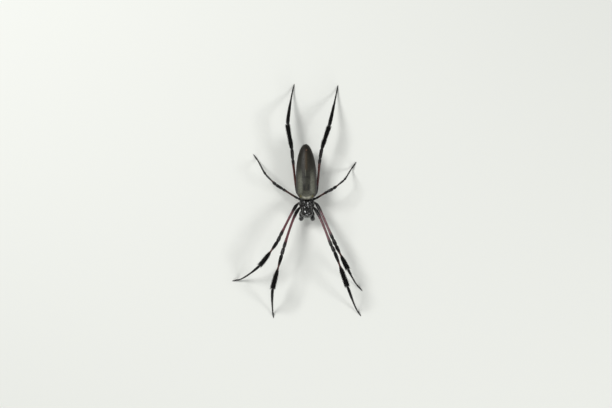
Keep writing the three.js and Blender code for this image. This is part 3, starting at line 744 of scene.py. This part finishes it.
MOUTH_HIGH = 8.25
LIP = {"apart": 0.0, "y": -2.95, "half_x": 0.52, "half_y": 0.62, "low": 5.35}
MAXILLA = {"apart": 0.98, "y": -3.45, "half_x": 0.62, "half_y": 1.12, "low": 5.1}


def lobe_rings(shape, side):
    along, around = pole_spacing(36), turn_places(36)
    open_by = np.sin(math.pi * along) ** 0.6
    return np.stack((
        MIDDLE_X + side * shape["apart"] + shape["half_x"] * open_by * np.cos(around),
        shape["y"] + shape["half_y"] * (2 * along - 1) + 0 * around,
        (shape["low"] + MOUTH_HIGH) / 2 + (MOUTH_HIGH - shape["low"]) / 2 * open_by * np.sin(around),
    ), axis=-1)


under = np.clip(-np.sin(turn_places(36)), 0, 1) * (1 - step(0.05, 0.45, pole_spacing(36)))
mouth = skin("mouth_lobes", [lobe_rings(LIP, 0), lobe_rings(MAXILLA, -1), lobe_rings(MAXILLA, 1)], {
    "tone": SHELL_BLACK, "lie": unit(np.zeros((36, 36, 3)) + (0, -0.7, -0.6)), "fuzz": under,
}, body_shell, ["mouthparts"])
coat(
    "mouth_fringe", mouth, leg_hair, "black_shell", Where="fuzz", Density=6e7,
    Length=0.55 * MM, Width=0.016 * MM, Curl=0.2, Spread=0.3, Bends=3, Seed=51,
)


# Chelicerae: two stout black jaws hang under the brow, each one swollen shell with a curved, sharp,
# red-black fang that folds in across its end.
CHELICERA_LINE = ((1.15, -5.72, 8.2), (1.2, -6.0, 6.4), (0.98, -5.3, 3.5))
CHELICERA_RADII = ((0, 0.7), (0.15, 0.96), (0.5, 0.98), (0.85, 0.8), (1, 0.48))
FANG_LINE = ((0.98, -5.3, 3.95), (0.86, -5.0, 2.6), (0.4, -4.2, 3.1))
FANG_RED = srgb(46, 16, 13)
FANG_RADII = ((0, 0.3), (0.3, 0.26), (0.7, 0.17), (1, 0.03))


def on_side(line, side):
    return [(MIDDLE_X + side * x, y, z) for x, y, z in line]


def blunt_tube(line, stations, sides, upward, dome=0.3):
    """A tube along a line with rounded ends, with the outward and ahead directions of its points."""
    radii = smooth(stations, np.linspace(0, 1, len(line)))
    ahead = unit(np.gradient(line, axis=0))
    turn = np.linspace(0, math.pi / 2, 6)[:-1]
    start = line[0] - ahead[0] * (np.cos(turn) * radii[0] * dome)[:, None]
    end = line[-1] + ahead[-1] * (np.cos(turn) * radii[-1] * dome)[::-1, None]
    sizes = np.concatenate((np.sin(turn) * radii[0], radii, np.sin(turn)[::-1] * radii[-1]))
    return tube(np.concatenate((start, line, end)), sizes, sides, upward)


fang_shell = shell_material("fang_shell", roughness=0.16, gloss=0.8, relief=0.15, grain=3000)
for side_name, side in (("left", -1), ("right", 1)):
    line = curve_places(on_side(CHELICERA_LINE, side), np.linspace(0, 1, 44))
    rings, outward, ahead = blunt_tube(line, CHELICERA_RADII, 44, (0, -1, 0))
    jaw = skin("chelicera_shell_" + side_name, [rings], {
        "tone": SHELL_BLACK, "lie": unit(ahead * 0.8 + outward * 0.6),
        "fuzz": np.clip(-outward[..., 1], 0, 1) * 0.8 + 0.1,
    }, body_shell, ["chelicera_" + side_name])
    coat(
        "chelicera_hairs_" + side_name, jaw, leg_hair, "black_shell", Where="fuzz", Density=1.1e7,
        Length=0.6 * MM, Width=0.016 * MM, Curl=0.2, Spread=0.3, Bends=3, Seed=61 + side,
    )
    line = curve_places(on_side(FANG_LINE, side), np.linspace(0, 1, 30))
    rings = blunt_tube(line, FANG_RADII, 24, (1, 0, 0))[0]
    skin("fang_" + side_name, [rings], {"tone": FANG_RED}, fang_shell)


# Palps: two short feelers beside the jaws, jointed like legs. Each rises from its maxilla to a knee and
# hangs down to a round, glossy, hairy end.
PALP_ARM_LINE = ((2.35, -3.1, 6.5), (3.2, -4.9, 7.5), (2.95, -6.7, 7.6))
PALP_ARM_RADII = ((0, 0.48), (0.16, 0.6), (0.24, 0.5), (0.32, 0.6), (0.82, 0.63), (1, 0.5))
PALP_HAND_LINE = ((2.95, -7.0, 7.7), (2.92, -7.4, 5.6), (2.6, -6.9, 2.8))
PALP_HAND_RADII = (
    (0, 0.66), (0.1, 0.98), (0.22, 1.06), (0.3, 0.88), (0.4, 1.06), (0.56, 1.1), (0.64, 0.96),
    (0.74, 1.04), (0.9, 0.74), (1, 0.36),
)


def through(points, count):
    """A line through three or more points, bowed smoothly."""
    points = np.array(points, float)
    walked = np.concatenate(([0], np.cumsum(np.linalg.norm(np.diff(points, axis=0), axis=1))))
    walked /= walked[-1]
    places = np.linspace(0, 1, count)
    return np.stack([smooth(list(zip(walked, points[:, axis])), places) for axis in range(3)], axis=1)


for side_name, side in (("left", -1), ("right", 1)):
    arm, arm_out, arm_ahead = blunt_tube(
        through(on_side(PALP_ARM_LINE, side), 40), PALP_ARM_RADII, 32, (0, 0, 1),
    )
    hand, hand_out, hand_ahead = blunt_tube(
        through(on_side(PALP_HAND_LINE, side), 64), PALP_HAND_RADII, 32, (0, -1, 0), dome=0.6,
    )
    for part, rings, outward, ahead, density, replaced in (
        ("arm", arm, arm_out, arm_ahead, 1.5e7, ["palp_" + side_name]),
        ("hand", hand, hand_out, hand_ahead, 3e7, []),
    ):
        piece = skin(f"palp_{part}_{side_name}", [rings], {
            "tone": LEG_BLACK, "lie": unit(ahead * 0.85 + outward * 0.5), "fuzz": np.ones(rings.shape[:2]),
        }, body_shell, replaced)
        coat(
            f"palp_{part}_hairs_{side_name}", piece, leg_hair, "black_shell", Where="fuzz", Density=density,
            Length=0.5 * MM, Width=0.015 * MM, Curl=0.3, Spread=0.3, Bends=3, Seed=71 + side,
        )


# Abdomen: a long, soft, egg-shaped sack drawn out to a blunt tail. Its thin skin is grey under a fine
# silver nap, with a pale band in front, dark marks down the middle and a browner tail.
ABDOMEN_LENGTH = 27.7
ABDOMEN_FRONT = np.array((0.35, 2.25, 12.3))
ABDOMEN_TURN = math.radians(1.2)
ABDOMEN_DROOP = math.radians(-3)
ABDOMEN_SIDE = (5.23, 7.65, 3, 20, 2.1)
ABDOMEN_BACK = (4.6, 9, 2.4, 16, 2.2)
ABDOMEN_BELLY = (5.3, 10, 1.7, 15, 2.0)
ASH = srgb(76, 76, 66)
PALE_ASH = srgb(106, 107, 95)
DARK_ASH = srgb(36, 35, 27)
TAIL_BROWN = srgb(27, 22, 14)
STRIPE_BROWN = srgb(66, 52, 34)
# A purplish dark, used as painted shade along the rim of the back.
RIM_SHADE = srgb(33, 26, 31)
BAND_WHITE = srgb(172, 170, 154)
SPOT_YELLOW = srgb(120, 112, 46)
SPOT_PINK = srgb(126, 92, 78)
PATCH_BLACK = srgb(20, 19, 15)
DENT_BROWN = srgb(38, 35, 30)
BELLY_DUSK = srgb(46, 41, 36)
COVER_BROWN = srgb(92, 72, 48)
DASH_YELLOW = srgb(140, 128, 84)
DENTS = ((6.2, 1.9), (9.6, 2.1), (13.2, 2.0), (16.8, 1.7), (20.0, 1.3))
LUNG_COVER = {"x": 2.1, "y": 5.2}


def opening(distance, reach, power):
    left = 1 - np.clip(distance / reach, 0, 1)
    return (1 - left ** power) ** (1 / power)


def abdomen_half(y, radius, front_reach, front_power, rear_reach, rear_power):
    front = opening(y, front_reach, front_power)
    rear = opening(ABDOMEN_LENGTH - y, rear_reach, rear_power)
    return radius * front * rear


def abdomen_to_world(points):
    """From the abdomen's own frame, tail along +Y, to the whole spider's."""
    x, y, z = points[..., 0], points[..., 1], points[..., 2]
    droop_y = y * math.cos(ABDOMEN_DROOP) - z * math.sin(ABDOMEN_DROOP)
    droop_z = y * math.sin(ABDOMEN_DROOP) + z * math.cos(ABDOMEN_DROOP)
    turn_x = x * math.cos(ABDOMEN_TURN) - droop_y * math.sin(ABDOMEN_TURN)
    turn_y = x * math.sin(ABDOMEN_TURN) + droop_y * math.cos(ABDOMEN_TURN)
    return np.stack((turn_x, turn_y, droop_z), axis=-1) + ABDOMEN_FRONT


def back_tone(x, y):
    """Colours of the back, with painted shade on its rim, from places across it and along from its front,
    in millimetres.
    """
    side = np.abs(x)
    edge = side / 5.2
    tone = mix(ASH, DARK_ASH, step(9, 15, y))
    tone = mix(tone, TAIL_BROWN, step(17, 25, y) * 0.9)
    tone = mix(tone, PALE_ASH, hump(side, 3.1, 1.1) * step(1.5, 4, y) * (1 - step(9, 17, y)) * 0.8)
    # Painted shade: the outer quarter of each side darkens towards the rim, where the back curves away from
    # the light.
    tone = mix(tone, RIM_SHADE, step(0.76, 0.95, edge) * 0.8)
    field = (1 - step(1.5, 2.1, side)) * step(3.5, 4.5, y) * (1 - step(21, 24, y))
    tone = mix(tone, DARK_ASH, field * 0.75)
    patches = hump(side, 1.05, 0.55) * step(4.2, 4.9, y) * (1 - step(7, 7.7, y))
    tone = mix(tone, PATCH_BLACK, patches * 0.85)
    bar = hump(y, 11, 0.7) * (1 - step(1.7, 2.4, side))
    tone = mix(tone, PATCH_BLACK, bar * 0.7)
    tone = mix(tone, STRIPE_BROWN, hump(x, 0, 0.7) * step(13, 16, y) * (1 - step(22, 25, y)) * 0.8)
    line = hump(x, -0.35, 0.16) * step(11.2, 12, y) * (1 - step(14, 15.5, y))
    tone = mix(tone, PALE_ASH, line * 0.7)
    rails = hump(side, 1.75, 0.22) * step(8, 11, y) * (1 - step(18, 22, y))
    tone = mix(tone, TAIL_BROWN, rails * 0.5)
    for ripple_y in (2.5, 3.2, 3.9):
        ripple = hump(y + 0.12 * x ** 2, ripple_y + 0.35, 0.14) * (1 - step(1.8, 2.8, side))
        tone = mix(tone, DARK_ASH, ripple * 0.8)
    # Painted shade on the front shoulders, where the back turns down.
    tone = mix(tone, RIM_SHADE, step(2.6, 3.6, side) * (1 - step(1.6, 3.2, y)) * 0.8)
    band = hump(y, 0.65 + 0.12 * x ** 2, 0.5) * (1 - step(1.8, 2.7, side)) * (0.78 - 0.22 * np.cos(x * 3.2))
    tone = mix(tone, BAND_WHITE, band)
    shoulder = np.exp(-(((side - 3.0) / 0.4) ** 2 + ((y - 1.5) / 0.5) ** 2))
    tone = mix(tone, SPOT_YELLOW, shoulder * 0.6)
    tail_spot = np.exp(-(((x - 0.35) / 0.3) ** 2 + ((y - 24.6) / 0.3) ** 2))
    return mix(tone, SPOT_PINK, tail_spot * 0.9)


def belly_tone(x, y):
    """Colours of the belly: dusky, with smooth brown lung covers and rows of pale dashes behind them."""
    side = np.abs(x)
    tone = mix(BELLY_DUSK, TAIL_BROWN, step(14, 24, y))
    covers = np.exp(-(((side - LUNG_COVER["x"]) / 1.1) ** 2 + ((y - LUNG_COVER["y"]) / 1.5) ** 2))
    tone = mix(tone, COVER_BROWN, covers * 0.8)
    dashes = hump(side, 1.5, 0.3) * np.clip(np.sin(y * 2.4), 0, 1) * step(10, 11, y) * (1 - step(21, 22, y))
    return mix(tone, DASH_YELLOW, dashes * 0.8)


along, around = pole_spacing(220), turn_places(168)
across, upward = np.cos(around) + 0 * along, np.sin(around) + 0 * along
y = ABDOMEN_LENGTH * along + 0 * around
x = abdomen_half(y, *ABDOMEN_SIDE) * across
z = np.where(upward > 0, abdomen_half(y, *ABDOMEN_BACK), abdomen_half(y, *ABDOMEN_BELLY)) * upward
dents = 0 * y
for dent_y, dent_x in DENTS:
    dents += 0.16 * np.exp(-(((np.abs(x) - dent_x) / 0.22) ** 2 + ((y - dent_y) / 0.26) ** 2))
wrinkles = 0.035 * np.sin(y * 9 + 2 * np.cos(x)) * (1 - step(2.5, 4.5, y)) * step(0.6, 1.2, y)
cover_x, cover_y = (np.abs(x) - LUNG_COVER["x"]) / 1.2, (y - LUNG_COVER["y"]) / 1.6
covers = 0.14 * np.exp(-(cover_x ** 2 + cover_y ** 2) ** 2)
furrow = -0.25 * hump(y, 7.6 + 0.08 * x ** 2, 0.22) * (1 - step(3.2, 4.2, np.abs(x)))
z = z + np.where(upward > 0, wrinkles - dents, -(covers + furrow)) * np.minimum(1, 3 * np.abs(upward))
back_share = step(-0.25, 0.15, upward)
dark_dents = mix(back_tone(x, y), DENT_BROWN, np.clip(dents * 5, 0, 1) * 0.7)
tone = mix(belly_tone(x, y), dark_dents, back_share)
outward = unit(np.stack((across, 0 * across, upward), axis=-1))
abdomen_skin, tree, shader, place = new_material("abdomen_skin", {
    "Roughness": 0.5, "Specular IOR Level": 0.35, "Sheen Weight": 0.05, "Sheen Roughness": 0.4,
})
mottled(tree, shader, place, scale=1500, detail=6, depth=0.32)
creases = add_node(tree, "ShaderNodeTexVoronoi", {"Vector": place, "Scale": 2400})
raised(tree, shader, creases.outputs["Distance"], 0.4, 0.08 * MM)
abdomen = skin("abdomen_sack", [abdomen_to_world(np.stack((x, y, z), axis=-1))], {
    "tone": tone, "lie": unit(outward * 0.42 + np.array((0, 0.9, 0))), "fuzz": np.ones(y.shape),
}, abdomen_skin, ["abdomen"])
nap = thread_material("silver_nap", srgb(78, 76, 66), 0.5, 0.8)
coat(
    "abdomen_nap", abdomen, nap, "grey_skin", Where="fuzz", Density=8e6,
    Length=0.5 * MM, Width=0.016 * MM, Curl=0.35, Spread=0.25, Bends=3, Seed=81,
)


# Waist and spinnerets: a thin black stalk joins the two halves of the body, and under the tail six short
# brown cones, in three pairs round a low mound, let out the silk.
PEDICEL_ENDS = ((0.45, 2.2, 9.55), (0.35, 6.4, 10.25))
waist_line = np.linspace(*np.array(PEDICEL_ENDS), 24)
rings, outward = blunt_tube(waist_line, ((0, 0.6), (0.5, 0.48), (1, 0.6)), 24, (0, 0, 1))[:2]
rings = rings + outward * 0.03 * np.sin(np.arange(len(rings)) * 2.2)[:, None, None]
skin("waist", [rings], {"tone": mix(SHELL_BLACK, FOLD_TAN, 0.25)}, body_shell, ["pedicel"])

SPINNERET_Y = 24.3
MOUND_BROWN = srgb(44, 34, 28)
CONE_BROWN = srgb(66, 46, 34)
SPINNERET_CONE = {"length": 1.7, "lean": -0.35, "z": -4.8}
SPINNERETS = ((0.55, -0.25, 0.5), (0.3, 0.35, 0.36), (0.6, 0.9, 0.48))
spinneret_skin = shell_material("spinneret_skin", roughness=0.45, gloss=0.15, relief=0.6, grain=3600)
mound = ball_rings((0, SPINNERET_Y, -3.6), (1.15, 1.26, 1.03), 30, 40)
down = np.array((0, -math.sin(SPINNERET_CONE["lean"]), -math.cos(SPINNERET_CONE["lean"])))
cones, places = [abdomen_to_world(mound)], np.linspace(0, 1, 26)[:, None]
for apart, place_y, radius in SPINNERETS:
    for side in (-1, 1):
        middle = np.array((side * apart, SPINNERET_Y + place_y, SPINNERET_CONE["z"]))
        line = middle + (places - 0.5) * SPINNERET_CONE["length"] * down
        joint = 1 - 0.14 * hump(places[:, 0], 0.62, 0.05)
        stations = radius * (1 - 0.62 * places[:, 0] ** 1.4) * joint
        cone = blunt_tube(line, list(zip(places[:, 0], stations)), 24, (0, 1, 0))[0]
        cones.append(abdomen_to_world(cone))
skin("spinneret_mound", cones[:1], {"tone": MOUND_BROWN}, spinneret_skin, ["spinnerets"])
tips = skin("spinneret_cones", cones[1:], {
    "tone": CONE_BROWN, "lie": down * 0.9 + np.zeros((36, 24, 3)), "fuzz": np.ones((36, 24)),
}, spinneret_skin)
coat(
    "spinneret_hairs", tips, leg_hair, "brown_skin", Where="fuzz", Density=3e7,
    Length=0.35 * MM, Width=0.014 * MM, Curl=0.1, Spread=0.45, Bends=2, Seed=91,
)


# Floor and light: a plain pale table under broad, soft lamps, as in a studio.
FLOOR_REACH = 1.5
FLOOR_WHITE = srgb(232, 233, 228)
ROOM_WHITE = srgb(226, 230, 228)
ROOM_LIGHT = 0.26
floor_mesh = bpy.data.meshes.new("floor")
corners = [(x * FLOOR_REACH, y * FLOOR_REACH, 0) for x, y in ((-1, -1), (1, -1), (1, 1), (-1, 1))]
floor_mesh.from_pydata(corners, [], [(0, 1, 2, 3)])
floor_paint = new_material("floor_paint", {"Base Color": (*FLOOR_WHITE, 1), "Roughness": 0.9})[0]
floor_mesh.materials.append(floor_paint)
floor = add_object("floor", floor_mesh)

for lamp_name, spot, size, power in (
    ("key_lamp", (-0.35, 0.3, 0.6), 0.26, 3.9),
    ("fill_lamp", (0.5, -0.15, 0.5), 0.22, 1.6),
    ("front_lamp", (0.05, -0.6, 0.35), 0.25, 1.2),
):
    lamp = bpy.data.lights.new(lamp_name, "AREA")
    lamp.size = size
    lamp.energy = power
    holder = add_object(lamp_name, lamp)
    holder.location = Vector(spot)
    holder.rotation_euler = (-Vector(spot)).to_track_quat("-Z", "Y").to_euler()
world = bpy.data.worlds.new("studio")
world.use_nodes = True
background = world.node_tree.nodes["Background"]
background.inputs["Color"].default_value = (*ROOM_WHITE, 1)
background.inputs["Strength"].default_value = ROOM_LIGHT
bpy.context.scene.world = world
bpy.context.scene.view_settings.view_transform = "Standard"
